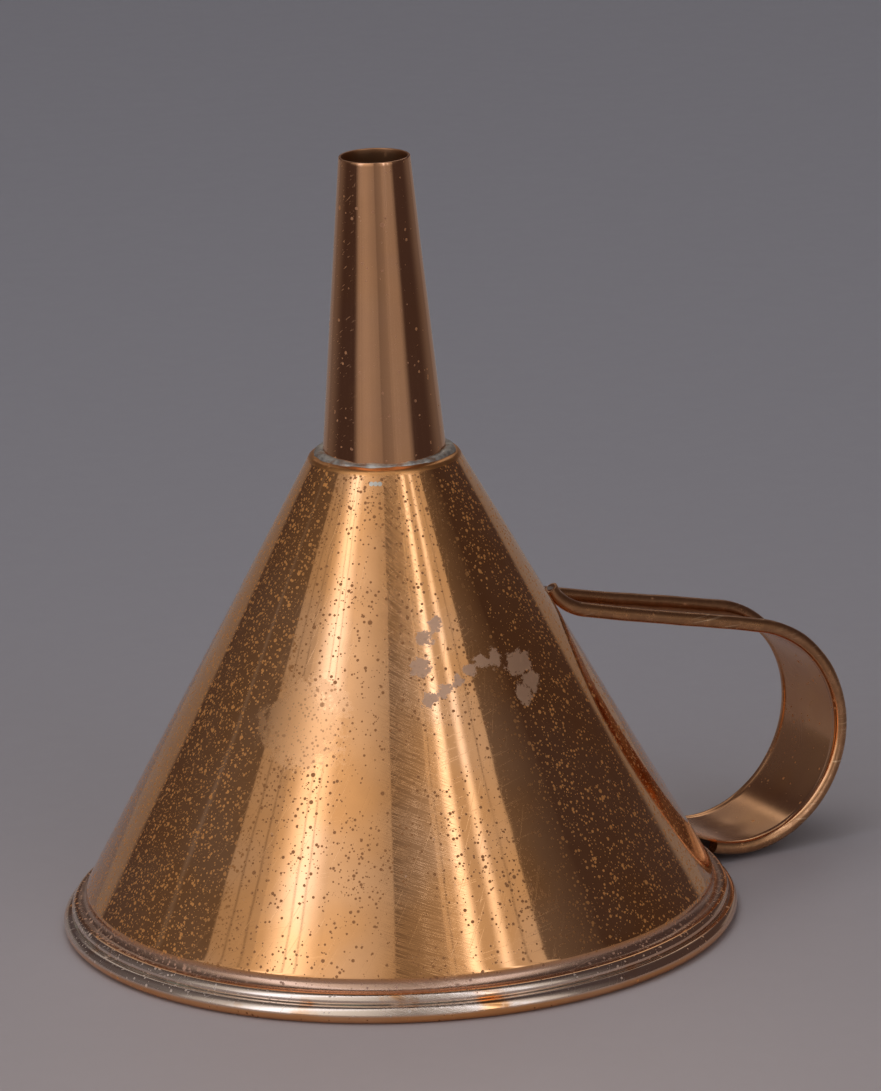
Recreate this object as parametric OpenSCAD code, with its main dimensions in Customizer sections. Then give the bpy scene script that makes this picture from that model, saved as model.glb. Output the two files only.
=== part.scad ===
// Sheet copper funnel with a side handle, standing mouth down.
// Origin: centre of the mouth's rest plane. +Z runs up to the spout tip, +X out through the handle.
// All lengths are in millimetres.

/* [Cone] */

// outer diameter of the rolled rim at the mouth
mouth_d = 200; // [194:1:210]
// height at which the straight cone ends and turns in to the shoulder
cone_h = 141.1; // [134:0.1:150]
// outer diameter of the cone where the shoulder bend begins
shoulder_d = 44.6; // [43.6:0.2:50]
// height of the short upright neck above the rim bead
neck_h = 3.6; // [2.8:0.1:5]
// outer radius of the bend at the shoulder
shoulder_bend_r = 2; // [1.5:0.1:2.4]
// rise of the shoulder towards the spout, in degrees
shoulder_rise = 10; // [5:1:16]

/* [Spout] */

// overall height, from the rest plane to the spout tip
total_h = 230.4; // [200:0.1:260]
// outer diameter of the spout at its tip
spout_tip_d = 20.8; // [14:0.2:26]
// outer diameter of the spout where it leaves the shoulder
spout_base_d = 36.1; // [33:0.1:37]
// length of spout held inside the cone, below the shoulder
spout_tail = 3.6; // [2:0.1:6]

/* [Sheet and wire] */

// thickness of the copper sheet of the cone and the spout
sheet_t = 0.8; // [0.6:0.05:1]
// diameter of the wire ring inside the rolled rim
rim_wire_d = 3.6; // [3.2:0.1:4.2]
// outer radius of the bead above the rolled rim
bead_r = 1.9; // [1.7:0.05:2.1]
// depth worn off the underside of the rolled rim, which makes the flat rest land
rest_wear = 0.12; // [0.05:0.01:0.25]

/* [Handle] */

// distance from the axis to the outermost point of the handle
handle_reach = 148.65; // [146:0.05:152]
// radius of the handle's loop, measured to the centre of its rolled edges
loop_r = 34.3; // [33:0.1:35]
// height of the handle's lowest point above the rest plane
floor_gap = 1.65; // [1.2:0.05:3]
// downward slope of the strap's straight run, in degrees
run_slope = 13.6; // [10:0.1:16]
// radius of the bend between the straight run and the upper foot
upper_bend_r = 14; // [11:0.5:16]
// length of the upper foot's flat part on the cone
upper_foot = 2.4; // [1.5:0.1:5]
// length of the lower foot's flat part on the cone
lower_foot = 9; // [7:0.5:12]
// distance between the rolled edges' centres, as it would be on the axis at the rest plane
strap_w = 24.67; // [23:0.01:27]
// diameter of the wires inside the strap's rolled edges
edge_wire_d = 2.7; // [2.5:0.1:2.9]
// thickness of the strap's sheet
strap_t = 0.7; // [0.6:0.05:0.8]

/* [Hidden] */

$fn = 96;
tube_fn = 32;
wire_gap = 0.05;          // room between a wire and the sheet rolled around it
joint_gap = 0.02;         // hairline between neighbouring pieces
big = 400;

// Rim: the roll around the wire, and the bead just above and inside it.
roll_r = rim_wire_d / 2 + wire_gap + sheet_t;
roll_c = [mouth_d / 2 - roll_r, roll_r - rest_wear];
bead_c = roll_c + [-1.75, 3.75];
bead_open = 2.9;          // the bead's inner side is open below this reach
neck_r = bead_c[0] - 2.7;
ledge_z = bead_c[1] + bead_r;
neck_top = ledge_z + neck_h;

// Cone: its outer line runs from the neck corner to the start of the shoulder bend.
cone_run = [neck_r - shoulder_d / 2, cone_h - neck_top];
cone_a = atan2(cone_run[0], cone_run[1]);
cone_len = norm(cone_run);
cone_n = [cos(cone_a), sin(cone_a)];
cone_u = [-sin(cone_a), cos(cone_a)];
cone_k = cone_n * [neck_r, neck_top];
neck_bend_r = 2;
neck_bend = neck_bend_r * tan(cone_a / 2);
bend_steps = 4;           // straight steps in the neck bend; the shoulder bend has twice as many

// Shoulder: a convex bend, then a ledge rising inwards to the hole for the spout.
shoulder_c = [shoulder_d / 2, cone_h] - shoulder_bend_r * cone_n;
ledge_n = [sin(shoulder_rise), cos(shoulder_rise)];
ledge_start = shoulder_c + shoulder_bend_r * ledge_n;
hole_r = spout_base_d / 2 + 0.15;
ledge_len = (ledge_start[0] - hole_r) / cos(shoulder_rise);
ledge_end_z = ledge_start[1] + ledge_len * sin(shoulder_rise);

// Spout: one straight taper from its tail inside the cone to the tip.
spout_a = atan2(spout_base_d / 2 - spout_tip_d / 2, total_h - ledge_end_z);
spout_wall = sheet_t / cos(spout_a);
tail_z = ledge_end_z - sheet_t - spout_tail;

// Handle: the rolled edges follow one path, and the strap's web lies on the path's inner side.
edge_hole_r = edge_wire_d / 2 + wire_gap;
edge_r = edge_hole_r + strap_t;
edge_rise = 0.35;         // how far the rolled edges stand above the web on its inner side
web_in = edge_r - edge_rise;
web_out = web_in - strap_t;
web_bite = 0.12;          // how far the web runs into the wall of a rolled edge
web_lap = sqrt(pow(edge_hole_r, 2) - pow(web_out, 2)) + web_bite;
loop_c = [handle_reach - edge_r - loop_r, floor_gap + edge_r + loop_r];
run_n = [sin(run_slope), cos(run_slope)];
run_u = [cos(run_slope), -sin(run_slope)];
run_end = loop_c + loop_r * run_n;
foot_gap = 0.4;           // solder between the upper foot and the cone
foot_turn = 90 - cone_a - run_slope;
bend_len = upper_bend_r * tan(foot_turn / 2);
foot_corner = run_end - run_u * ((cone_n * run_end - cone_k - foot_gap - web_in) / (cone_n * run_u));
run_start = foot_corner + bend_len * run_u;
foot_start = foot_corner + bend_len * cone_u;
upper_bend_c = run_start + upper_bend_r * run_n;
run_len = norm(run_end - run_start);
blank_w = 80;             // width of the web before its edges are cut
bend_lap = 0.05;          // degrees by which a bend of the strap runs into its neighbours
over_lap = 0.5;           // length by which a straight stretch runs over the bend next to it
over_step = 0.03;         // how far it stands proud of that bend, so that it ends in a clean step
web_over = 2.5;           // degrees by which the lower bend runs over the loop's web
roll_end = -110;          // where the rolled edges stop on the loop, in degrees

// Lower foot: a tight bend turns the bare web up along the cone, clear of the bead.
lower_gap = 0.6;          // solder between the lower foot and the cone
lower_bend_r = 5.8;
loop_web_r = loop_r - web_out;
lower_reach = (cone_k + lower_gap + lower_bend_r - cone_n * loop_c) / (loop_web_r - lower_bend_r);
web_end = cone_a - acos(lower_reach);
lower_bend_c = loop_c + (loop_web_r - lower_bend_r) * [cos(web_end), sin(web_end)];
lower_foot_s = cone_u * (lower_bend_c - [neck_r, neck_top]);
upper_solder_w = 15.4;
lower_solder_w = 26;

// Taper: the edges lie in planes that spread outwards and downwards.
spread_x = atan(0.0247);
spread_z = asin(0.0371);

copper = [0.72, 0.45, 0.28];
steel = [0.55, 0.55, 0.56];
solder = [0.68, 0.68, 0.66];

// Points of an arc round c, from angle a0 to angle a1.
function arc(c, r, a0, a1, steps) =
    [for (i = [0:steps]) c + r * [cos(a0 + (a1 - a0) * i / steps), sin(a0 + (a1 - a0) * i / steps)]];

// Places 2D shapes in the cone wall's own frame: x outwards from the outer line, y up the slope.
module on_cone() {
    translate([neck_r, neck_top]) rotate(cone_a) children();
}

// Neck, cone, shoulder and ledge as one sheet, from the bead's top to the hole for the spout.
module wall_section() {
    neck_c = [neck_r - neck_bend_r, neck_top - neck_bend];
    ledge_end = ledge_start + ledge_len * [-cos(shoulder_rise), sin(shoulder_rise)];
    polygon(concat(
        [[bead_c[0], ledge_z], [neck_r, ledge_z]],
        arc(neck_c, neck_bend_r, 0, cone_a, bend_steps),
        arc(shoulder_c, shoulder_bend_r, cone_a, 90 - shoulder_rise, 2 * bend_steps),
        [ledge_end, ledge_end - sheet_t * ledge_n],
        arc(shoulder_c, shoulder_bend_r - sheet_t, 90 - shoulder_rise, cone_a, 2 * bend_steps),
        arc(neck_c, neck_bend_r - sheet_t, cone_a, 0, bend_steps),
        [[neck_r - sheet_t, ledge_z - sheet_t], [bead_c[0], ledge_z - sheet_t]]
    ));
}

module cone_section() {
    difference() {
        union() {
            translate(roll_c) circle(r = roll_r);
            translate(bead_c) circle(r = bead_r);
            wall_section();
        }
        translate(roll_c) circle(r = roll_r - sheet_t);
        translate(bead_c) circle(r = bead_r - sheet_t);
        translate(bead_c - [bead_open, bead_open]) square([bead_open, bead_open + bead_r - sheet_t - 0.3]);
        translate([0, -big]) square([big, big]);
    }
}

module cone_body() {
    color(copper) rotate_extrude() cone_section();
}

module rim_wire() {
    color(steel) rotate_extrude() translate(roll_c) circle(r = rim_wire_d / 2, $fn = tube_fn);
}

module spout() {
    tail_r = spout_base_d / 2 + (ledge_end_z - tail_z) * tan(spout_a);
    color(copper) rotate_extrude() polygon([
        [tail_r, tail_z],
        [spout_tip_d / 2, total_h],
        [spout_tip_d / 2 - spout_wall, total_h],
        [tail_r - spout_wall, tail_z]
    ]);
}

// A rounded bead of solder in the corner between the ledge and the spout.
module spout_solder() {
    solder_r = 1.6;
    wall_r = spout_base_d / 2 + joint_gap;
    top = ledge_end_z + 3;
    color(solder) rotate_extrude() intersection() {
        translate([wall_r + 0.75, ledge_end_z - 0.64]) circle(r = solder_r);
        polygon([
            [wall_r, ledge_end_z + joint_gap + (hole_r - wall_r) * tan(shoulder_rise)],
            [ledge_start[0], ledge_start[1] + joint_gap],
            [ledge_start[0], top],
            [wall_r - (top - ledge_end_z) * tan(spout_a), top]
        ]);
    }
}

// The path of the strap's rolled edges, as a round bar of radius r in the XZ plane.
module edge_bar(r) {
    rotate([90, 0, 0]) {
        translate(foot_start) rotate(cone_a + 90) edge_rod(r, upper_foot, 1, 0);
        edge_bend(r, upper_bend_c, upper_bend_r, cone_a + 180, 270 - run_slope);
        translate(run_start) rotate(-run_slope) edge_rod(r, run_len, 1, 1);
        edge_bend(r, loop_c, loop_r, roll_end, 90 - run_slope);
    }
}

// A straight stretch from 0 to len along x, running over the bend at its start or its end where that is 1.
module edge_rod(r, len, at_start, at_end) {
    translate([-over_lap * at_start, 0]) rotate([0, 90, 0])
        cylinder(r = r + over_step, h = len + over_lap * (at_start + at_end), $fn = tube_fn);
}

module edge_bend(r, c, bend_r, a0, a1) {
    translate(c) rotate_extrude(angle = a1 - a0 + 2 * bend_lap, start = a0 - bend_lap)
        translate([bend_r, 0]) circle(r = r, $fn = tube_fn);
}

// Tilts shapes from the XZ plane to the plane of the edge on the +Y side.
module to_edge() {
    translate([0, strap_w / 2, 0]) rotate([spread_z, 0, spread_x]) children();
}

// The strap's sheet between its rolled edges, wider than needed.
module web() {
    rotate([90, 0, 0]) {
        translate(foot_start) rotate(cone_a + 90) web_flat(web_out, upper_foot, 1, 0);
        web_bend(upper_bend_c, upper_bend_r + web_out, cone_a + 180, 270 - run_slope);
        translate(run_start) rotate(-run_slope) web_flat(-web_in, run_len, 1, 1);
        web_bend(loop_c, loop_r - web_in, web_end, 90 - run_slope);
        web_bend(lower_bend_c, lower_bend_r - strap_t, cone_a - 180, web_end + web_over, over_step / 2);
        on_cone() translate([lower_gap, lower_foot_s]) rotate(90) web_flat(-strap_t, lower_foot, 1, 0);
    }
}

// A flat stretch from 0 to len along x, running over the bend at its start or its end where that is 1.
module web_flat(y, len, at_start, at_end) {
    translate([-over_lap * at_start, y - over_step, -blank_w / 2])
        cube([len + over_lap * (at_start + at_end), strap_t + 2 * over_step, blank_w]);
}

module web_bend(c, r, a0, a1, proud = 0) {
    translate(c) rotate_extrude(angle = a1 - a0, start = a0)
        translate([r - proud, -blank_w / 2]) square([strap_t + 2 * proud, blank_w]);
}

// Everything on the inner side of the +Y edge, up to where the web enters the roll's wall.
module inside_edge() {
    to_edge() translate([-big / 2, -big - web_lap, -big / 2]) cube(big);
}

module handle_strap() {
    color(copper) {
        intersection() {
            web();
            inside_edge();
            mirror([0, 1, 0]) inside_edge();
        }
        for (side = [0, 1]) mirror([0, side, 0]) to_edge() difference() {
            edge_bar(edge_r);
            edge_bar(edge_hole_r);
        }
    }
}

module handle_wire_front() {
    color(steel) mirror([0, 1, 0]) to_edge() edge_bar(edge_wire_d / 2);
}

module handle_wire_rear() {
    color(steel) to_edge() edge_bar(edge_wire_d / 2);
}

// The space outside the cone's straight wall.
module outside_cone() {
    difference() {
        children();
        rotate_extrude($fn = 360) polygon([
            [0, 0],
            [neck_r + joint_gap, 0],
            [neck_r + joint_gap, neck_top],
            [shoulder_d / 2 + joint_gap, cone_h],
            [0, cone_h]
        ]);
    }
}

// Fills the wedge between the flat upper foot and the round cone, with a fillet over the foot's end.
module upper_handle_solder() {
    s = cone_u * (foot_start - [neck_r, neck_top]);
    face = foot_gap - over_step - joint_gap;
    color(solder) outside_cone() rotate([90, 0, 0])
        linear_extrude(height = upper_solder_w, center = true) on_cone() polygon([
            [-4, s - 2.5],
            [face, s - 0.5],
            [face, s + upper_foot + joint_gap],
            [face + 0.6, s + upper_foot + joint_gap],
            [face, s + upper_foot + 1.1],
            [-4, s + upper_foot + 2.6]
        ]);
}

// Fills the space between the lower foot and the cone.
module lower_handle_solder() {
    face = lower_gap - over_step - joint_gap;
    color(solder) outside_cone() rotate([90, 0, 0])
        linear_extrude(height = lower_solder_w, center = true) on_cone() polygon([
            [-4, lower_foot_s + 1],
            [face, lower_foot_s + 1],
            [face, lower_foot_s + lower_foot + joint_gap],
            [face + 0.5, lower_foot_s + lower_foot + joint_gap],
            [-4, lower_foot_s + lower_foot + 4]
        ]);
}

cone_body();
rim_wire();
spout();
spout_solder();
handle_strap();
handle_wire_front();
handle_wire_rear();
upper_handle_solder();
lower_handle_solder();
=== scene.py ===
import math

import bmesh
import bpy
import numpy as np
from mathutils import Matrix, Vector


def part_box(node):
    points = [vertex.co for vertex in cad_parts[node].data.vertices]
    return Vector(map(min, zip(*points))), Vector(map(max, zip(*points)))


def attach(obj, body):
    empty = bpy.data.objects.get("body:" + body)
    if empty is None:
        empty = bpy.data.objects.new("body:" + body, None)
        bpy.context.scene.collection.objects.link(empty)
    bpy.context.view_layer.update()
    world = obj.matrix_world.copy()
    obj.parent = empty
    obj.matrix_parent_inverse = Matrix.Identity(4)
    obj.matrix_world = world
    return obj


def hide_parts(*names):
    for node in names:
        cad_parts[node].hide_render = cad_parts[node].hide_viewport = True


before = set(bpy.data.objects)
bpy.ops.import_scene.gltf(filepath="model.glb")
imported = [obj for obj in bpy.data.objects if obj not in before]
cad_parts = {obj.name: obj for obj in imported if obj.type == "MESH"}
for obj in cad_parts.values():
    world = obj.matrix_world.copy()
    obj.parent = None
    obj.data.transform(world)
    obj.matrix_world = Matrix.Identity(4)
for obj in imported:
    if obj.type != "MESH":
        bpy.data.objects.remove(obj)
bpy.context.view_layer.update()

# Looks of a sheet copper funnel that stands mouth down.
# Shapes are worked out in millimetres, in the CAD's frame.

MM = 0.001


def unit(degrees):
    return np.array([math.cos(math.radians(degrees)), math.sin(math.radians(degrees))])


# ---------------------------------------------------------------- dimensions, as in the CAD

MOUTH_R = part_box("cone_body")[1].y / MM
LEDGE_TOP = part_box("cone_body")[1].z / MM
TAIL_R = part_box("spout")[1].y / MM
TAIL_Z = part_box("spout")[0].z / MM
TIP_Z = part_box("spout")[1].z / MM
HANDLE_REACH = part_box("handle_strap")[1].x / MM
HANDLE_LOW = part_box("handle_strap")[0].z / MM

SHEET = 0.8
ROLL_R = 2.65                                   # rolled rim
ROLL_C = np.array([MOUTH_R - ROLL_R, ROLL_R - 0.12])
BEAD_R = 1.9                                    # bead above it
BEAD_C = ROLL_C + [-1.75, 3.75]
NECK_R = BEAD_C[0] - 2.7
NECK_TOP = BEAD_C[1] + BEAD_R + 3.6
SHOULDER = np.array([22.3, 141.1])
SHOULDER_R = 2.0
SHOULDER_RISE = 10.0
NECK_BEND_R = 2.0
NECK_FILLET = 2.2                               # the hollow between the neck and the bead
HOLE_R = 18.2
CONE_ANGLE = math.degrees(math.atan2(NECK_R - SHOULDER[0], SHOULDER[1] - NECK_TOP))
CONE_OUT = unit(CONE_ANGLE)
CONE_UP = unit(CONE_ANGLE + 90)

TIP_R = 10.4                                    # spout
SPOUT_BASE_R = 18.05
SPOUT_ANGLE = math.degrees(math.atan2(TAIL_R - TIP_R, TIP_Z - TAIL_Z))

STRAP_T = 0.7                                   # handle
EDGE_R = 2.1
RUN_SLOPE = 13.6
LOOP_R = 34.3
LOOP_C = np.array([HANDLE_REACH - EDGE_R - LOOP_R, HANDLE_LOW + EDGE_R + LOOP_R])
UPPER_BEND_R = 14.0
UPPER_FOOT = 2.4
LOWER_FOOT = 9.0
LOWER_BEND_R = 5.8
LOWER_GAP = 0.6
ROLL_END = -110.0
WEB_IN = 1.75                                   # from the rolls' centres to the web's inner face
WEB_OUT = WEB_IN - STRAP_T
WIRE_R = 1.35

# ---------------------------------------------------------------- the camera, and which way it looks

CAMERA_AZIMUTH = -28.8
CAMERA_ELEVATION = 15.76
CAMERA_ROLL = 2.0
CAMERA_AIM = Vector((0, 0, 0.110))
CAMERA_DISTANCE = 2.052
CAMERA_LENS = 231.0
CAMERA_SHIFT = (0.0480, 0.0104)
FACING = CAMERA_AZIMUTH - 90.0                  # the polar angle of the side that faces the camera


def towards(azimuth, elevation):
    a, e = math.radians(azimuth), math.radians(elevation)
    return Vector((math.sin(a) * math.cos(e), -math.cos(a) * math.cos(e), math.sin(e)))


# ---------------------------------------------------------------- mesh tools

def ripple(points, size, seed, waves=20):
    """A smooth random field of about unit height over the points, with bumps of about size mm."""
    rng = np.random.default_rng(seed)
    way = rng.normal(size=(waves, 3))
    way *= (rng.uniform(0.6, 1.4, waves) / np.linalg.norm(way, axis=1))[:, None] * 2 * math.pi / size
    phase = rng.uniform(0, 2 * math.pi, waves)
    return np.sin(points @ way.T + phase).sum(1) * math.sqrt(2 / waves)


def arc(centre, radius, start, end, steps):
    return [np.array(centre) + radius * unit(a) for a in np.linspace(start, end, steps)]


def line(start, end, steps):
    """Points from start up to, and without, end."""
    return [np.array(start) + (np.array(end) - start) * t for t in np.linspace(0, 1, steps, endpoint=False)]


def add_mesh(name, points, faces, material, sharp=35.0):
    mesh = bpy.data.meshes.new(name)
    mesh.from_pydata((np.asarray(points) * MM).tolist(), [], faces)
    mesh.shade_smooth()
    mesh.set_sharp_from_angle(angle=math.radians(sharp))
    mesh.materials.append(material)
    piece = bpy.data.objects.new(name, mesh)
    bpy.context.scene.collection.objects.link(piece)
    return piece


def grid_faces(rows, columns, wrap_rows):
    """Quads over a grid whose columns close on themselves, and whose rows do too if wrap_rows."""
    r = np.arange(rows if wrap_rows else rows - 1)
    c = np.arange(columns)
    a = (r[:, None] * columns + c).ravel()
    b = (r[:, None] * columns + (c + 1) % columns).ravel()
    up = (((r + 1) % rows)[:, None] * columns + (c + 1) % columns).ravel()
    d = (((r + 1) % rows)[:, None] * columns + c).ravel()
    return np.stack([a, b, up, d], 1).tolist()


def lathe(outline, steps):
    """Points and faces of a closed outline of (radius, height), turned counter-clockwise about Z."""
    outline = np.array(outline)
    turn = np.linspace(0, 2 * math.pi, steps, endpoint=False)
    x = np.cos(turn)[:, None] * outline[:, 0]
    y = np.sin(turn)[:, None] * outline[:, 0]
    z = np.broadcast_to(outline[:, 1], x.shape)
    points = np.stack([x, y, z], -1).reshape(-1, 3)
    return points, grid_faces(steps, len(outline), True)


def radial(points):
    flat = points * [1, 1, 0]
    return flat / np.maximum(np.linalg.norm(flat, axis=1), 1e-6)[:, None]


# ---------------------------------------------------------------- shader tools

class Nodes:
    """A node tree, with short calls for the nodes that are used most."""

    def __init__(self, tree):
        self.tree = tree
        self.tree.nodes.clear()

    def node(self, kind, inputs=None, **settings):
        made = self.tree.nodes.new("ShaderNode" + kind)
        for key, value in settings.items():
            setattr(made, key, value)
        for key, value in (inputs or {}).items():
            if isinstance(value, bpy.types.NodeSocket):
                self.tree.links.new(value, made.inputs[key])
            else:
                made.inputs[key].default_value = value
        return made

    def math(self, operation, a, b=0.0):
        return self.node("Math", {0: a, 1: b}, operation=operation).outputs[0]

    def square(self, a):
        return self.math("MULTIPLY", a, a)

    def scaled(self, a, factor, offset=0.0):
        return self.node("Math", {0: a, 1: factor, 2: offset}, operation="MULTIPLY_ADD").outputs[0]

    def step(self, value, low, high):
        """0 below low, 1 above high and smooth between. With low above high it falls."""
        inputs = {"Value": value, "From Min": low, "From Max": high}
        return self.node("MapRange", inputs, interpolation_type="SMOOTHSTEP").outputs[0]

    def mix(self, factor, a, b):
        made = self.node("Mix", data_type="RGBA")
        for socket, value in ((made.inputs[0], factor), (made.inputs[6], a), (made.inputs[7], b)):
            if isinstance(value, bpy.types.NodeSocket):
                self.tree.links.new(value, socket)
            else:
                socket.default_value = value if isinstance(value, float) else (*value, 1.0)
        return made.outputs[2]

    def blend(self, factor, a, b):
        return self.node("Mix", {0: factor, 2: a, 3: b}, data_type="FLOAT").outputs[0]

    def vector(self, operation, inputs, output=0):
        return self.node("VectorMath", inputs, operation=operation).outputs[output]


class Shader(Nodes):
    """A material's nodes, with the patterns that the surfaces share. Sizes are in mm."""

    def __init__(self, name):
        self.material = bpy.data.materials.new(name)
        self.material.use_nodes = True
        super().__init__(self.material.node_tree)
        place = self.node("TexCoord").outputs["Object"]
        self.place = self.vector("SCALE", {0: place, "Scale": 1 / MM})
        self.axes = self.node("SeparateXYZ", {0: self.place}).outputs
        self.around = self.math("ARCTAN2", self.axes[1], self.axes[0])
        flat = self.math("ADD", self.square(self.axes[0]), self.square(self.axes[1]))
        self.reach = self.math("SQRT", flat)
        self.height = self.axes[2]

    def noise(self, size, detail=2.0, seed=0.0, rough=0.55, where=None):
        where = where or self.place
        spot = self.vector("ADD", {0: where, 1: (seed, seed * 1.7, -seed)})
        inputs = {"Vector": spot, "Scale": 1 / size, "Detail": detail, "Roughness": rough}
        return self.node("TexNoise", inputs).outputs[0]

    def unrolled(self, mean_r, turn):
        """The surface laid flat: x along turn degrees from the level direction, y across it, both in mm."""
        u = self.scaled(self.around, mean_r)
        c, s = unit(turn)
        along = self.math("ADD", self.scaled(u, c), self.scaled(self.height, s))
        across = self.math("ADD", self.scaled(u, -s), self.scaled(self.height, c))
        depth = self.scaled(self.reach, 0.05)
        return self.node("CombineXYZ", {0: along, 1: across, 2: depth}).outputs[0]

    def scratches(self, mean_r, turn, length, width, seed, share):
        """1 on fine scratches that run along turn. A smaller share leaves fewer."""
        flat = self.unrolled(mean_r, turn)
        bent = self.vector("MULTIPLY", {0: flat, 1: (1 / length, 1 / width, 1.0)})
        lines = self.noise(1.0, 1.0, seed, where=bent)
        return self.step(lines, 0.74 - share, 0.78 - share)

    def specks(self, pitch, largest, share, seed):
        """1 inside round spots of up to largest mm radius. The share of cells with one may be a socket."""
        spot = self.vector("ADD", {0: self.place, 1: (seed, seed, seed)})
        cells = self.node("TexVoronoi", {"Vector": spot, "Scale": 1 / pitch, "Randomness": 1.0})
        draw = self.node("SeparateColor", {0: cells.outputs["Color"]}).outputs
        size = self.scaled(self.square(draw[0]), largest * 0.6, largest * 0.4)
        far = self.scaled(cells.outputs["Distance"], pitch)
        inside = self.step(self.math("DIVIDE", far, size), 1.1, 0.75)
        shown = self.math("LESS_THAN", draw[1], share)
        return self.math("MULTIPLY", inside, shown)

    def facing(self, turn):
        """The cosine between the point's side and the side that is turn degrees right of the camera."""
        c, s = unit(FACING + turn)
        out = self.math("ADD", self.scaled(self.axes[0], c), self.scaled(self.axes[1], s))
        return self.math("DIVIDE", out, self.reach)

    def near(self, x, y, z, radius):
        """1 at a point, falling to 0 at radius."""
        away = self.vector("DISTANCE", {0: self.place, 1: (x, y, z)}, "Value")
        return self.step(away, radius, 0.0)

    def finish(self, colour, rough, metal, height, depth):
        """The surface, with a bump of depth mm where height goes from 0 to 1."""
        bump = self.node("Bump", {"Strength": 1.0, "Distance": depth * MM, "Height": height})
        surface = self.node("BsdfPrincipled", {
            "Base Color": colour, "Roughness": rough, "Metallic": metal, "Normal": bump.outputs[0]})
        output = self.node("OutputMaterial")
        self.tree.links.new(surface.outputs[0], output.inputs[0])
        return self.material


# ---------------------------------------------------------------- materials

COPPER_GOLD = (0.88, 0.43, 0.165)
COPPER_PINK = (0.90, 0.49, 0.24)
COPPER_BROWN = (0.42, 0.21, 0.10)
OXIDE = (0.34, 0.15, 0.06)
# The brighter orange is the oxide on the ledge, and also the painted light of the specks away from the
# front.
ORANGE_OXIDE_AND_PAINTED_LIGHT = (0.95, 0.42, 0.12)
LEDGE_BROWN = (0.52, 0.25, 0.10)
SPOUT_PINK = (0.72, 0.38, 0.23)
# Pale silver of the highlight painted on top of the rolled rim.
PAINTED_ROLL_HIGHLIGHT = (0.84, 0.75, 0.66)
# Pale pinkish brown of the floor's reflection, painted on the neck above the bead.
NECK_FLOOR_REFLECTION = (0.66, 0.46, 0.36)
STAIN = (0.56, 0.34, 0.22)
STRAP_TAN = (0.66, 0.35, 0.19)
STRAP_WORN = (0.90, 0.60, 0.34)
# Near-black of the dark line along the crease at the rim.
CREASE_DARK = (0.055, 0.035, 0.022)
VERDIGRIS = (0.22, 0.26, 0.19)
SOLDER = (0.62, 0.59, 0.52)
SOLDER_DULL = (0.36, 0.32, 0.28)
STEEL = (0.30, 0.27, 0.25)
RUST = (0.20, 0.09, 0.04)

# Matte stains on the cone: degrees to the right of the camera's side, height, size and how solid.
STAINS = (
    (46, 87, 8, 1.0),
    (47, 82, 6.5, 1.0),
    (42, 79, 6, 1.0),
    (42, 87, 5, 0.9),
    (36, 90, 5, 1.0),
    (31, 90, 4, 1.0),
    (26, 88, 4, 1.0),
    (21, 86, 4, 0.9),
    (16, 84, 4.5, 0.9),
    (11, 82, 5, 0.9),
    (9, 91, 6, 0.8),
    (12, 98, 5, 0.8),
    (17, 101, 5, 0.8),
)


def on_cone(turn, height):
    """A point on the outside of the cone, turn degrees to the right of the side that faces the camera."""
    r = NECK_R - (height - NECK_TOP) * math.tan(math.radians(CONE_ANGLE))
    return (*(unit(FACING + turn) * r), height)


def polished_copper(name, mean_r, speckled, scratched):
    """Copper that was once polished, with haze, brush marks, fine scratches and oxide specks; away from the
    front the specks are painted a lighter orange, a painted light.
    """
    s = Shader(name)
    colour = s.mix(s.step(s.noise(46, 2, 3), 0.40, 0.62), COPPER_GOLD, COPPER_PINK)
    colour = s.mix(s.scaled(s.noise(7, 4, 11), 0.35), colour, COPPER_BROWN)
    rough = s.scaled(s.noise(18, 3, 5), 0.045, 0.018)
    haze = s.step(s.noise(30, 5, 21, 0.65), 0.56, 0.72)
    rough = s.blend(s.scaled(haze, 0.8), rough, 0.11)

    upright = s.scratches(mean_r, 68, 22, 0.22, 31, 0.045)
    level = s.scratches(mean_r, 14, 14, 0.20, 47, 0.035)
    marks = s.scaled(s.math("MAXIMUM", upright, level), scratched)
    brushed = brush_marks(s, mean_r, scratched)
    rough = s.math("ADD", s.math("ADD", rough, s.scaled(marks, 0.12)), brushed)

    specks = oxide_specks(s, mean_r, speckled)
    # Painted light: specks away from the front are painted a brighter orange and made less metallic,
    # standing in for the panels' light they would scatter; at the front they keep the dark oxide colour.
    painted_light_side = s.step(s.facing(0), 0.86, 0.70)
    colour = s.mix(s.scaled(specks, 0.92), colour, s.mix(painted_light_side, OXIDE, ORANGE_OXIDE_AND_PAINTED_LIGHT))
    rough = s.blend(specks, rough, 0.50)
    metal = s.scaled(s.math("MULTIPLY", specks, painted_light_side), -0.3, 1.0)

    height = s.scaled(s.noise(8, 2, 41), 0.8)
    height = s.math("SUBTRACT", height, s.scaled(marks, 0.30))
    height = s.math("SUBTRACT", height, s.scaled(brushed, 5.0))
    height = s.math("ADD", height, s.scaled(specks, 0.35))
    return s, colour, rough, metal, height


def brush_marks(s, mean_r, strength):
    """Roughness of slanting brush strokes, which show in a band near the front."""
    strokes = s.scratches(mean_r, -24, 9, 0.16, 2, 0.20)
    band = s.step(s.facing(4), 0.984, 0.997)
    return s.math("MULTIPLY", strokes, s.scaled(band, 0.12 * strength, 0.008 * strength))


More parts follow.
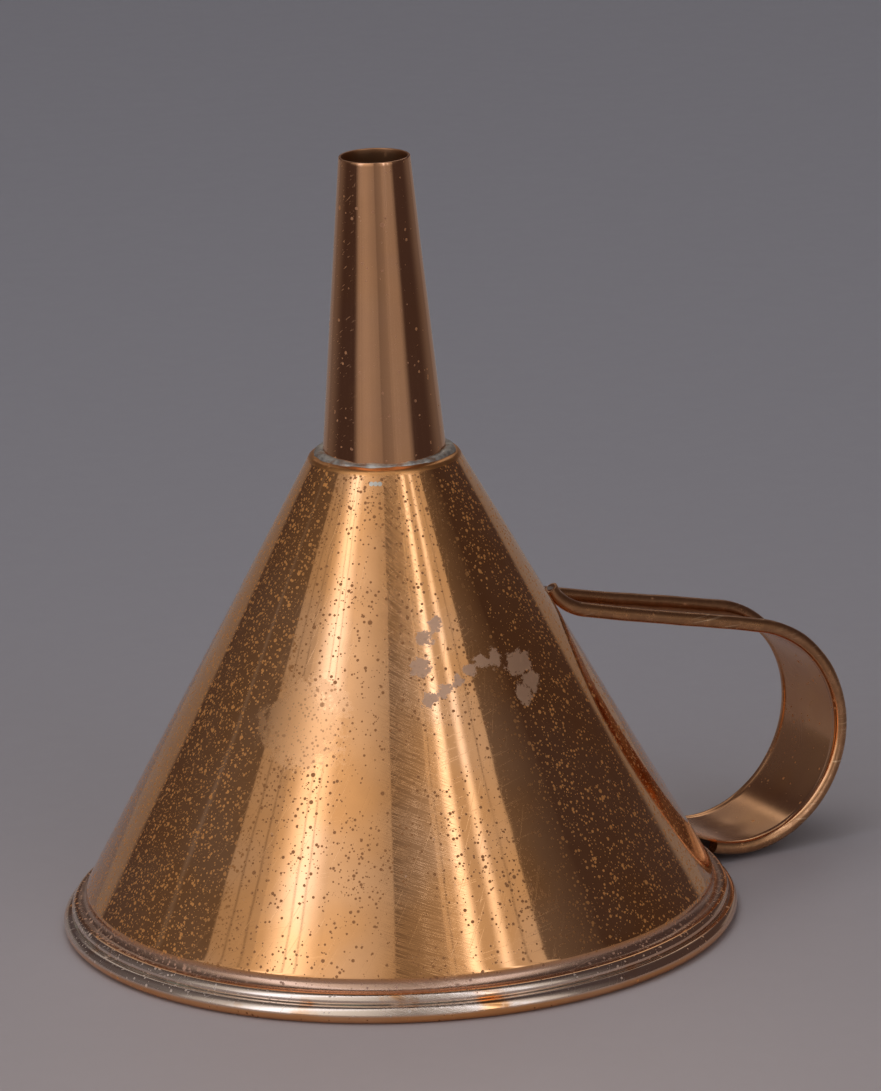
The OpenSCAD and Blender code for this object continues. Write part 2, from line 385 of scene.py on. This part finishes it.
def oxide_specks(s, mean_r, amount):
    """1 on specks of three sizes and on worm-like marks, which crowd at the left, the right and the top."""
    left = s.step(s.facing(-90), 0.30, 0.85)
    right = s.scaled(s.step(s.facing(62), 0.70, 0.95), 0.6)
    top = s.step(s.height, 116.0, 140.0)
    sides = s.math("MAXIMUM", s.math("MAXIMUM", s.scaled(left, 1.3), right), top)
    crowd = s.math("ADD", s.step(s.noise(20, 3, 17), 0.36, 0.70), sides)
    crowd = s.scaled(crowd, 0.62 * amount, 0.10 * amount)
    crowd = s.math("MULTIPLY", crowd, s.scaled(s.step(s.height, 5, 12), 0.85, 0.15))
    small = s.specks(1.15, 0.56, crowd, 5.0)
    large = s.specks(2.4, 0.78, s.scaled(crowd, 0.8), 9.0)
    dust = s.specks(0.75, 0.24, s.scaled(crowd, 0.55), 13.0)
    worms = s.math("MULTIPLY", s.scratches(mean_r, 35, 2.2, 0.5, 67, 0.05), left)
    dots = s.math("MAXIMUM", s.math("MAXIMUM", small, large), dust)
    return s.math("MAXIMUM", dots, s.scaled(worms, 0.8))


def cone_copper():
    s, colour, rough, metal, height = polished_copper("cone_copper", 62, 1.0, 1.0)
    ragged = s.noise(3.2, 6, 61, 0.8)

    stain = stained(s, ragged)
    colour = s.mix(s.scaled(stain, 0.85), colour, STAIN)
    rough = s.blend(s.scaled(stain, 0.9), rough, 0.42)

    cloud = s.math("ADD", s.scaled(s.near(*on_cone(-27, 76), 26), 0.5), s.noise(6, 6, 65, 0.75))
    cloud = s.step(cloud, 0.68, 0.80)
    rough = s.blend(s.scaled(cloud, 0.8), rough, 0.34)
    colour = s.mix(s.scaled(cloud, 0.35), colour, COPPER_PINK)

    ledge = s.step(s.height, SHOULDER[1] - 0.8, SHOULDER[1] + 0.1)
    ledge_colour = s.mix(s.noise(1.5, 4, 83), ORANGE_OXIDE_AND_PAINTED_LIGHT, LEDGE_BROWN)
    colour = s.mix(s.scaled(ledge, 0.8), colour, ledge_colour)
    rough = s.blend(ledge, rough, 0.36)

    # Painted highlight: the top of the rolled rim is painted pale silver, and made a little rougher.
    roll_highlight = roll_top_highlight(s)
    colour = s.mix(s.scaled(roll_highlight, 0.8), colour, PAINTED_ROLL_HIGHLIGHT)
    rough = s.math("ADD", rough, s.scaled(roll_highlight, 0.12))

    # Painted reflection: the neck and the hollow above the bead are painted pale pinkish brown, as the
    # floor would look in them, and made rougher.
    foot = s.step(s.height, NECK_TOP, NECK_TOP - 2)
    neck_reflection = s.math("MULTIPLY", foot, s.step(s.reach, BEAD_C[0] + 0.8, BEAD_C[0] - 0.6))
    colour = s.mix(s.scaled(neck_reflection, 0.75), colour, NECK_FLOOR_REFLECTION)
    rough = s.math("ADD", rough, s.math("ADD", s.scaled(foot, 0.03), s.scaled(neck_reflection, 0.20)))

    drop = solder_drop(s, ragged)
    colour = s.mix(drop, colour, SOLDER)
    rough = s.blend(drop, rough, 0.34)

    # A patchy dark colour along the crease between the roll and the bead, with verdigris towards the left;
    # it is rough and less metallic.
    crease_line = s.math("MULTIPLY", groove(s, CREASE, 0.5, 0.1), s.step(s.noise(9, 4, 71), 0.25, 0.55))
    green = s.math("MULTIPLY", s.step(s.noise(15, 3, 77), 0.48, 0.62), s.step(s.facing(-60), 0.2, 0.8))
    colour = s.mix(s.scaled(crease_line, 0.8), colour, s.mix(green, CREASE_DARK, VERDIGRIS))
    rough = s.blend(crease_line, rough, 0.65)

    matte = s.math("MAXIMUM", s.scaled(crease_line, 0.8), s.scaled(stain, 0.45))
    metal = s.math("SUBTRACT", metal, matte)
    return s.finish(colour, rough, metal, height, 0.010)


def stained(s, ragged):
    """1 inside the ragged stains."""
    marked = 0.0
    for turn, height, size, strength in STAINS:
        spot = s.scaled(s.near(*on_cone(turn, height), size), strength)
        marked = s.math("MAXIMUM", spot, marked)
    return s.step(s.math("ADD", s.scaled(marked, 0.36), ragged), 0.665, 0.70)


def roll_top_highlight(s):
    """A silver highlight painted on top of the rolled rim, fainter on the handle's side."""
    outside = s.step(s.reach, BEAD_C[0] + 0.4, BEAD_C[0] + 1.2)
    roll_top = s.math("MULTIPLY", s.step(s.height, 2.2, 3.2), outside)
    patchy = s.math("MULTIPLY", roll_top, s.step(s.noise(16, 4, 81), 0.28, 0.46))
    return s.math("MULTIPLY", patchy, s.scaled(s.step(s.facing(-30), -0.1, 0.7), 0.6, 0.4))


def solder_drop(s, ragged):
    """A small flake of solder high on the front."""
    drop = 0.0
    for turn in (-4, -7, -10):
        drop = s.math("MAXIMUM", s.near(*on_cone(turn, 138.6), 1.2), drop)
    return s.step(s.math("ADD", drop, s.scaled(ragged, 0.5)), 0.60, 0.70)


def groove(s, ring, width, core):
    """1 on a ring of (radius, height), falling to 0 at width."""
    out = s.square(s.math("SUBTRACT", s.reach, float(ring[0])))
    up = s.square(s.math("SUBTRACT", s.height, float(ring[1])))
    return s.step(s.math("SQRT", s.math("ADD", out, up)), width, core)


def spout_copper():
    s, colour, rough, metal, height = polished_copper("spout_copper", 14, 0.06, 0.1)
    drawn = s.scratches(14, 90, 60, 0.35, 19, 0.16)
    colour = s.mix(s.scaled(s.noise(12, 3, 27), 0.5, 0.3), colour, SPOUT_PINK)
    rough = s.math("ADD", rough, s.scaled(drawn, 0.05, 0.04))
    height = s.math("SUBTRACT", height, s.scaled(drawn, 0.10))
    inside = s.step(s.math("SUBTRACT", s.reach, spout_r(s)), -0.25, -0.45)
    colour = s.mix(s.scaled(inside, 0.7), colour, COPPER_BROWN)
    rough = s.blend(inside, rough, 0.40)
    return s.finish(colour, rough, metal, height, 0.008)


def spout_r(s):
    """The spout's outer radius at the height of the point that is shaded."""
    slope = -math.tan(math.radians(SPOUT_ANGLE))
    return s.scaled(s.height, slope, TIP_R - slope * TIP_Z)


def strap_copper():
    """The strap's outer side is mottled brown with worn bright marks, and its inner side is smooth."""
    s, colour, rough, metal, height = polished_copper("strap_copper", 130, 0.25, 0.25)
    outer = s.node("Attribute", attribute_name="outer_side").outputs["Fac"]
    tan = s.step(s.noise(24, 3, 29), 0.36, 0.64)
    colour = s.mix(s.scaled(tan, 0.5, 0.25), colour, STRAP_TAN)
    rough = s.math("ADD", rough, s.scaled(tan, 0.10, 0.12))
    mottle = s.step(s.noise(4, 5, 13, 0.7), 0.36, 0.60)
    patina = s.math("MULTIPLY", outer, s.scaled(mottle, 0.55, 0.45))
    colour = s.mix(s.scaled(patina, 0.85), colour, COPPER_BROWN)
    rough = s.blend(s.scaled(patina, 0.8), rough, 0.36)
    patches = s.step(s.noise(14, 3, 37), 0.46, 0.60)
    rubbed = s.math("MULTIPLY", s.scratches(100, 3, 12, 0.8, 23, 0.12), patches)
    worn = s.math("MULTIPLY", outer, rubbed)
    colour = s.mix(s.scaled(worn, 0.8), colour, STRAP_WORN)
    return s.finish(colour, rough, metal, height, 0.012)


def solder_metal():
    s = Shader("solder_metal")
    colour = s.mix(s.step(s.noise(2.2, 4, 3), 0.35, 0.65), SOLDER, SOLDER_DULL)
    colour = s.mix(s.scaled(s.step(s.noise(4.5, 3, 8), 0.52, 0.66), 0.6), colour, COPPER_BROWN)
    rough = s.scaled(s.noise(1.6, 3, 5), 0.3, 0.34)
    return s.finish(colour, rough, 0.8, s.noise(1.1, 3, 9), 0.03)


def drawn_steel():
    s = Shader("drawn_steel")
    colour = s.mix(s.step(s.noise(3, 4, 3), 0.45, 0.62), STEEL, RUST)
    rough = s.scaled(s.noise(2, 3, 5), 0.4, 0.3)
    return s.finish(colour, rough, 0.8, s.noise(0.6, 3, 9), 0.02)


# ---------------------------------------------------------------- cone

LEDGE_Z = BEAD_C[1] + BEAD_R


def crease_point():
    """Where the roll and the bead meet on the outside."""
    between = BEAD_C - ROLL_C
    d = np.linalg.norm(between)
    along = (d * d + ROLL_R ** 2 - BEAD_R ** 2) / (2 * d)
    off = math.sqrt(ROLL_R ** 2 - along ** 2)
    e = between / d
    return ROLL_C + along * e + off * np.array([e[1], -e[0]])


CREASE = crease_point()


def polar_angle(centre, point):
    return math.degrees(math.atan2(point[1] - centre[1], point[0] - centre[0]))


def cone_outline():
    """The sheet's section: down the outside from the spout's hole, round the roll, and up the inside."""
    rise = unit(90 - SHOULDER_RISE)
    shoulder_c = SHOULDER - SHOULDER_R * CONE_OUT
    ledge_start = shoulder_c + SHOULDER_R * rise
    ledge_end = np.array([HOLE_R, LEDGE_TOP])
    bend_len = NECK_BEND_R * math.tan(math.radians(CONE_ANGLE / 2))
    neck_c = np.array([NECK_R - NECK_BEND_R, NECK_TOP - bend_len])
    cone_top = shoulder_c + SHOULDER_R * CONE_OUT
    cone_foot = neck_c + NECK_BEND_R * CONE_OUT
    inner_top = cone_top - SHEET * CONE_OUT
    inner_foot = cone_foot - SHEET * CONE_OUT
    bead_inside = BEAD_R - SHEET
    return (
        line(ledge_end, ledge_start, 8)
        + arc(shoulder_c, SHOULDER_R, 90 - SHOULDER_RISE, CONE_ANGLE, 14)
        + line(cone_top, cone_foot, 70)[1:]
        + arc(neck_c, NECK_BEND_R, CONE_ANGLE, 0, 9)
        + line([NECK_R, neck_c[1]], [NECK_R, LEDGE_Z + NECK_FILLET], 3)[1:]
        + arc([NECK_R + NECK_FILLET, LEDGE_Z + NECK_FILLET], NECK_FILLET, 180, 262, 14)
        + arc(BEAD_C, BEAD_R, 100, polar_angle(BEAD_C, CREASE), 22)
        + arc(ROLL_C, ROLL_R, polar_angle(ROLL_C, CREASE), -190, 48)[1:]
        + arc(BEAD_C, bead_inside, -150, -262, 9)
        + line([NECK_R - SHEET, LEDGE_Z - SHEET], inner_foot, 4)
        + line(inner_foot, inner_top, 24)
        + arc(shoulder_c, SHOULDER_R - SHEET, CONE_ANGLE, 90 - SHOULDER_RISE, 6)
        + line(ledge_start - SHEET * rise, ledge_end - SHEET * rise, 3)[1:]
        + [ledge_end - SHEET * rise]
    )


def dented(points, seed, size, depth):
    """Hand-made sheet is never quite round: broad shallow dents, and finer waves on top."""
    broad = ripple(points, size, seed) * depth
    fine = ripple(points, size / 4, seed + 1) * depth / 9
    return points + radial(points) * (broad + fine)[:, None]


def cone_piece():
    points, faces = lathe(cone_outline(), 400)
    points = dented(points, 4, 70, 0.05)
    points[:, 2] = np.maximum(points[:, 2], 0)          # the roll is worn flat where it rests
    return add_mesh("funnel_cone", points, faces, cone_copper())


# ---------------------------------------------------------------- spout

def spout_piece():
    slope = math.tan(math.radians(SPOUT_ANGLE))
    base = np.array([TAIL_R, TAIL_Z])
    tip = np.array([TIP_R, TIP_Z])
    wall = np.array([SHEET, 0])
    lip = 0.3
    outline = (
        line(base, tip - [0, lip], 110)
        + arc(tip - [lip, lip], lip, 0, 90, 5)
        + arc(tip - [SHEET - lip, lip], lip, 90, 180, 5)
        + line(tip - wall - [0, lip], base - wall, 60)[1:]
        + [base - wall]
    )
    points, faces = lathe(outline[::-1], 300)
    points = dented(points, 14, 45, 0.025)
    return add_mesh("funnel_spout", points, faces, spout_copper())


# ---------------------------------------------------------------- solder

def solder_ring():
    """A lumpy fillet between the ledge and the spout, thickest at the left and the right."""
    low = np.array([HOLE_R + 1.9, LEDGE_TOP - 0.33])
    high = np.array([SPOUT_BASE_R - 0.10, LEDGE_TOP + 0.75])
    corner = np.array([SPOUT_BASE_R - 0.35, LEDGE_TOP - 0.5])
    bulge = (low + high) / 2 + [0.28, 0.30]
    curve = [low, (low + bulge) / 2 + [0.06, 0.12], bulge, (bulge + high) / 2 + [0.05, 0.12], high]
    fine, coarse = np.linspace(0, 1, 9), np.linspace(0, 1, len(curve))
    skin = np.stack([np.interp(fine, coarse, np.array(curve)[:, k]) for k in (0, 1)], 1)
    under = [HOLE_R + 1.6, LEDGE_TOP - 0.62]
    points, faces = lathe(np.vstack([skin, corner, under]), 360)
    turn = np.degrees(np.arctan2(points[:, 1], points[:, 0]))
    side = np.abs(np.sin(np.radians(turn - FACING)))
    thick = 0.84 + 0.07 * ripple(points, 9, 7) + 0.03 * ripple(points, 3, 8) + 0.4 * side ** 3
    centre = radial(points) * corner[0] + [0, 0, corner[1]]
    points = centre + (points - centre) * np.clip(thick, 0.45, 1.6)[:, None]
    return add_mesh("spout_solder_ring", points, faces, solder_metal(), 60)


def lumpy(name, node, voxel, height):
    """The CAD's solder with its corners melted round and an uneven skin."""
    melted = bpy.data.objects.new(name, bpy.data.objects[node].data.copy())
    melted.matrix_world = bpy.data.objects[node].matrix_world
    bpy.context.scene.collection.objects.link(melted)
    remesh = melted.modifiers.new("melt", "REMESH")
    remesh.mode = "VOXEL"
    remesh.voxel_size = voxel * MM
    smooth = melted.modifiers.new("round", "SMOOTH")
    smooth.iterations = 10
    settled = melted.evaluated_get(bpy.context.evaluated_depsgraph_get())
    mesh = bpy.data.meshes.new_from_object(settled)
    points = np.array([melted.matrix_world @ v.co for v in mesh.vertices]) / MM
    normals = np.array([v.normal for v in mesh.vertices])
    bumps = 0.25 + ripple(points, 5, 3) + 0.6 * ripple(points, 2.2, 4)
    faces = [tuple(f.vertices) for f in mesh.polygons]
    bpy.data.objects.remove(melted)
    return add_mesh(name, points + normals * bumps[:, None] * height, faces, solder_metal(), 60)


# ---------------------------------------------------------------- handle

RUN_N = unit(90 - RUN_SLOPE)
RUN_U = unit(-RUN_SLOPE)
CONE_K = CONE_OUT @ [NECK_R, NECK_TOP]
RUN_END = LOOP_C + LOOP_R * RUN_N
FOOT_GAP = 0.4
BEND_LEN = UPPER_BEND_R * math.tan(math.radians((90 - CONE_ANGLE - RUN_SLOPE) / 2))
FOOT_CORNER = RUN_END - RUN_U * ((CONE_OUT @ RUN_END - CONE_K - FOOT_GAP - WEB_IN) / (CONE_OUT @ RUN_U))
RUN_START = FOOT_CORNER + BEND_LEN * RUN_U
FOOT_START = FOOT_CORNER + BEND_LEN * CONE_UP
UPPER_BEND_C = RUN_START + UPPER_BEND_R * RUN_N
LOOP_WEB_R = LOOP_R - WEB_OUT
LOWER_REACH = (CONE_K + LOWER_GAP + LOWER_BEND_R - CONE_OUT @ LOOP_C) / (LOOP_WEB_R - LOWER_BEND_R)
WEB_END = CONE_ANGLE - math.degrees(math.acos(LOWER_REACH))
LOWER_BEND_C = LOOP_C + (LOOP_WEB_R - LOWER_BEND_R) * unit(WEB_END)


UPPER_WRAP = 1 / 54
LOWER_WRAP = -1 / 100


def half_width(x, z):
    """From the middle of the strap to the centre of a rolled edge."""
    return (24.67 + 0.0494 * x - 0.0743 * z) / 2


def stations():
    """The strap's path as rows of x, z, the angle of its outward normal and its curvature across.

    The second value is how many rows have rolled edges; the rest is the bare web of the lower foot.
    """
    rows = []

    def straight(points, angle, wrap=0.0):
        rows.extend((p[0], p[1], angle, wrap) for p in points)

    def bend(centre, radius, start, end, steps, wraps=None):
        wraps = np.zeros(steps) if wraps is None else wraps
        for angle, wrap in zip(np.linspace(start, end, steps), wraps):
            rows.append((*(centre + radius * unit(angle)), angle, wrap))

    run_angle = 90 - RUN_SLOPE
    foot_angle = CONE_ANGLE - 180
    lower_r = LOWER_BEND_R + WEB_OUT
    upper_wraps = UPPER_WRAP * np.linspace(1, 0, 24) ** 2
    lower_wraps = LOWER_WRAP * np.linspace(0, 1, 20)
    lower_foot = LOWER_BEND_C + lower_r * unit(foot_angle)
    lower_foot_end = lower_foot + LOWER_FOOT * CONE_UP

    straight(line(FOOT_START + (UPPER_FOOT + 0.15) * CONE_UP, FOOT_START, 4), CONE_ANGLE, UPPER_WRAP)
    bend(UPPER_BEND_C, -UPPER_BEND_R, CONE_ANGLE, run_angle, len(upper_wraps), upper_wraps)
    straight(line(RUN_START, RUN_END, 44)[1:], run_angle)
    bend(LOOP_C, LOOP_R, run_angle, ROLL_END, 100)
    rolled = len(rows)
    bend(LOOP_C, LOOP_R, ROLL_END, WEB_END, 14)
    bend(LOWER_BEND_C, lower_r, WEB_END - 4, foot_angle, len(lower_wraps), lower_wraps)
    straight(line(lower_foot, lower_foot_end, 7)[1:] + [lower_foot_end], foot_angle, LOWER_WRAP)
    return np.array(rows), rolled


def swept(rows, section):
    """Sweeps closed sections of (y, height off the path), made by section(row's number, x, z)."""
    rings = []
    for i, (x, z, angle, wrap) in enumerate(rows):
        shape = section(i, x, z)
        off = shape[:, 1] - wrap * shape[:, 0] ** 2 / 2
        n = unit(angle)
        rings.append(np.stack([x + n[0] * off, shape[:, 0], z + n[1] * off], 1))
    points = np.concatenate(rings)
    count = len(rings[0])
    faces = grid_faces(len(rings), count, False)
    faces += [tuple(range(count)), tuple(reversed(range(len(points) - count, len(points))))]
    return points, faces


def strap_section(x, z):
    """A flat web with a round roll at each edge; the rolls stand out on both sides of it."""
    y = half_width(x, z)
    under = -180 + math.degrees(math.asin(WEB_IN / EDGE_R))
    over = 180 + math.degrees(math.asin(WEB_OUT / EDGE_R))
    roll = np.array(arc([y, 0], EDGE_R, under, over, 40))
    low = np.array(line([0, -WEB_IN], roll[0], 14))
    top = np.array(line(roll[-1], [0, -WEB_OUT], 14))[1:]
    half = np.vstack([low, roll, top])
    return np.vstack([half, [[0, -WEB_OUT]], half[:0:-1] * [-1, 1]])


def web_section(x, z):
    """The same points drawn in to the bare web."""
    shape = strap_section(x, z)
    edge = half_width(x, z) - 1.05
    return np.stack([np.clip(shape[:, 0], -edge, edge), np.clip(shape[:, 1], -WEB_IN, -WEB_OUT)], 1)


def strap_piece():
    rows, rolled = stations()

    def section(i, x, z):
        return strap_section(x, z) if i < rolled else web_section(x, z)

    points, faces = swept(rows, section)
    outer = np.tile(strap_section(*LOOP_C)[:, 1] > -(WEB_IN + WEB_OUT) / 2, len(rows))
    broad = 0.10 * ripple(points, 60, 24)[:, None] * [0.5, 0.3, 1.0]
    fine = 0.03 * ripple(points, 14, 25)[:, None]
    points = points + broad + fine
    strap = add_mesh("handle_strap_sheet", points, faces, strap_copper())
    side = strap.data.attributes.new("outer_side", "FLOAT", "POINT")
    side.data.foreach_set("value", outer.astype(np.float32))
    work = bmesh.new()
    work.from_mesh(strap.data)
    bmesh.ops.remove_doubles(work, verts=work.verts, dist=0.002 * MM)
    bmesh.ops.recalc_face_normals(work, faces=work.faces)
    work.to_mesh(strap.data)
    work.free()
    return strap


def edge_wire(name, side):
    """The wire in one rolled edge; it stands a little out of the roll at the upper foot."""
    rows, rolled = stations()
    rows = rows[:rolled]
    start, end = rows[0].copy(), rows[-1].copy()
    start[:2] += 0.25 * CONE_UP
    end[:2] -= 0.3 * unit(ROLL_END - 90)

    def circle(_, x, z):
        return np.array(arc([side * half_width(x, z), 0], WIRE_R, 0, 337.5, 16))

    points, faces = swept(np.vstack([start, rows[:-1], end]), circle)
    return add_mesh(name, points, faces, drawn_steel(), 50)


# ---------------------------------------------------------------- stage

FLOOR = (0.55, 0.475, 0.46)
FLECK = (0.44, 0.37, 0.35)
# The dimmer colour the floor is painted with away from its painted pool of light.
DIM_FLOOR = (0.275, 0.27, 0.30)
SKY = (0.165, 0.165, 0.178)                     # what the camera sees beyond the floor
ROOM = (0.063, 0.048, 0.050)                    # the faint light of the dark room
PANEL_COLOUR = (1.0, 0.98, 0.94)
LAMP_COLOUR = (0.98, 1.16, 1.55)

# Lit panels round the funnel: from and to in degrees right of the camera, and the strength at both ends.
PANELS = (
    (-134, -79.5, 0.02, 0.09),
    (-79.5, -61, 0.37, 0.50),
    (-61, -33, 0.66, 0.82),
    (-33, -3, 0.88, 0.42),
    (-3, 18, 0.12, 0.36),
    (18, 57.5, 0.62, 0.54),
    (57.5, 82, 0.10, 0.01),
)
# Brighter lamps behind them: the middle, the half width and the strength there.
LAMPS = (
    (-46, 14, 1.05),
    (28.5, 5, 1.35),
    (41.5, 4, 0.85),
    (-101, 2, 0.07),
)
# Dim seams in the panels, and half the width over which a panel's edge fades.
SEAMS = (-73, -65.5, -47.5, -42.5, 20.5, 50.5)
PANEL_BLUR = 0.3


def floor_material():
    s = Shader("floor_paint")
    fleck = s.noise(9, 4, 3, 0.6)
    colour = s.mix(s.scaled(fleck, 0.14), FLOOR, FLECK)
    # Painted light: the floor keeps its full colour in a pool towards the camera and is painted dimmer
    # farther back, a painted fall-off of the light.
    pool_middle = towards(CAMERA_AZIMUTH, 0) * 300
    away = s.vector("DISTANCE", {0: s.place, 1: pool_middle}, "Value")
    pool_r, fade = 100.0, 250.0
    painted_light_pool = s.math("EXPONENT", s.scaled(s.math("MAXIMUM", away, pool_r), -1 / fade, pool_r / fade))
    colour = s.mix(painted_light_pool, DIM_FLOOR, colour)
    return s.finish(colour, s.scaled(fleck, 0.12, 0.55), 0.0, fleck, 0.03)


def floor_piece(name, inner_r, outer_r):
    outline_r = np.linspace(inner_r, outer_r, 3)
    turn = np.linspace(0, 2 * math.pi, 128, endpoint=False)
    points = [(r * math.cos(t), r * math.sin(t), 0) for t in turn for r in outline_r]
    faces = grid_faces(len(turn), 3, True)
    keep = [f for f in faces if f[0] % 3 != 2]
    return add_mesh(name, points, [f[::-1] for f in keep], floor_material())


def studio():
    """A dark room with tall lit panels in front, soft light from above and behind, and a grey backdrop."""
    world = bpy.data.worlds.new("studio")
    bpy.context.scene.world = world
    world.use_nodes = True
    s = Nodes(world.node_tree)
    way = s.node("TexCoord").outputs["Generated"]
    c, d = unit(FACING)
    ahead = s.vector("DOT_PRODUCT", {0: way, 1: (c, d, 0)}, "Value")
    right = s.vector("DOT_PRODUCT", {0: way, 1: (-d, c, 0)}, "Value")
    rise = s.node("SeparateXYZ", {0: way}).outputs[2]
    turn = s.scaled(s.math("ARCTAN2", right, ahead), 180 / math.pi)
    side = s.math("ABSOLUTE", turn)
    up = s.scaled(s.math("ARCSINE", rise), 180 / math.pi)

    panels = 0.0
    for start, end, first, last in PANELS:
        inputs = {"Value": turn, "From Min": start, "From Max": end, "To Min": first, "To Max": last}
        level = s.node("MapRange", inputs).outputs[0]
        begun = s.step(turn, start - PANEL_BLUR, start + PANEL_BLUR)
        inside = s.math("MULTIPLY", begun, s.step(turn, end + PANEL_BLUR, end - PANEL_BLUR))
        panels = s.math("ADD", s.math("MULTIPLY", level, inside), panels)
    lamps = 0.0
    for middle, half, strength in LAMPS:
        off = s.math("ABSOLUTE", s.math("SUBTRACT", turn, float(middle)))
        lamps = s.math("ADD", s.scaled(s.step(off, float(half), 0.0), strength), lamps)
    for seam in SEAMS:
        off = s.math("ABSOLUTE", s.math("SUBTRACT", turn, float(seam)))
        gap = s.scaled(s.step(off, 0.2, 0.7), 0.45, 0.55)
        panels = s.math("MULTIPLY", panels, gap)
        lamps = s.math("MULTIPLY", lamps, gap)
    raised = s.step(up, -3, 5)
    low = s.math("MULTIPLY", s.scaled(panels, 0.26, 0.12), s.step(side, 62, 46))
    low = s.math("MAXIMUM", low, s.scaled(s.step(side, 92, 128), 0.10))
    front = s.blend(raised, low, panels)

    backdrop = s.math("MULTIPLY", s.step(side, 134, 138), s.step(up, 12, 4))
    band = s.math("MULTIPLY", s.step(up, 24, 30), s.step(up, 70, 55))
    behind = s.math("MULTIPLY", s.step(side, 148, 156), band)
    slats = s.step(s.math("SINE", s.scaled(turn, 0.16)), -0.6, 0.9)
    behind = s.math("MULTIPLY", behind, s.scaled(slats, 0.55, 0.25))
    light = s.math("MAXIMUM", front, s.math("MAXIMUM", s.scaled(backdrop, 0.17), behind))
    light = s.vector("SCALE", {0: PANEL_COLOUR, "Scale": light})
    lamps = s.vector("SCALE", {0: LAMP_COLOUR, "Scale": s.math("MULTIPLY", lamps, raised)})
    light = s.vector("ADD", {0: s.vector("ADD", {0: light, 1: lamps}), 1: ROOM})

    seen = s.node("LightPath").outputs["Is Camera Ray"]
    glow = s.node("Background", {"Color": s.mix(seen, light, SKY)})
    output = s.node("OutputWorld")
    s.tree.links.new(glow.outputs[0], output.inputs[0])


def overhead():
    """Broad soft light on the floor; mirrors don't show it."""
    lamp = bpy.data.lights.new("overhead", "AREA")
    lamp.shape = "DISK"
    lamp.size = 1.2
    lamp.energy = 5.0
    lamp.color = (1.0, 0.96, 0.92)
    light = bpy.data.objects.new("overhead", lamp)
    light.location = (-0.2, 0.3, 1.5)
    light.rotation_euler = (Vector((0, 0, 0.05)) - light.location).to_track_quat("-Z", "Y").to_euler()
    light.visible_glossy = False
    light.visible_camera = False
    bpy.context.scene.collection.objects.link(light)


def camera():
    toward = towards(CAMERA_AZIMUTH, CAMERA_ELEVATION)
    right = Vector((0, 0, 1)).cross(toward).normalized()
    up = toward.cross(right)
    c, s = unit(CAMERA_ROLL)
    tilted_right = right * c - up * s
    tilted_up = up * c + right * s
    lens = bpy.data.cameras.new("camera")
    lens.lens = CAMERA_LENS
    lens.sensor_width = 36.0
    lens.shift_x, lens.shift_y = CAMERA_SHIFT
    lens.clip_start = 0.1
    eye = bpy.data.objects.new("camera", lens)
    turned = Matrix((tilted_right, tilted_up, toward)).transposed().to_4x4()
    turned.translation = CAMERA_AIM + toward * CAMERA_DISTANCE
    eye.matrix_world = turned
    bpy.context.scene.collection.objects.link(eye)
    bpy.context.scene.camera = eye


# ---------------------------------------------------------------- the scene

PIECES = (
    (cone_piece(), "copper_sheet", ["cone_body"]),
    (spout_piece(), "copper_sheet", ["spout"]),
    (strap_piece(), "copper_strap", ["handle_strap"]),
    (solder_ring(), "solder", ["spout_solder"]),
    (lumpy("upper_solder", "upper_handle_solder", 0.25, 0.10), "solder", ["upper_handle_solder"]),
    (lumpy("lower_solder", "lower_handle_solder", 0.3, 0.12), "solder", ["lower_handle_solder"]),
    (edge_wire("front_wire", -1), "steel_wire", ["handle_wire_front"]),
    (edge_wire("rear_wire", 1), "steel_wire", ["handle_wire_rear"]),
)
for piece, slot, nodes in PIECES:
    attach(piece, "root")
    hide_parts(*nodes)

rim_wire = bpy.data.objects["rim_wire"]
rim_wire.data.materials.clear()
rim_wire.data.materials.append(drawn_steel())

near_floor = floor_piece("near_floor", 0, 550)
far_floor = floor_piece("far_floor", 550, 9000)
far_floor.visible_glossy = False
studio()
overhead()
camera()

bpy.context.scene.view_settings.view_transform = "Standard"
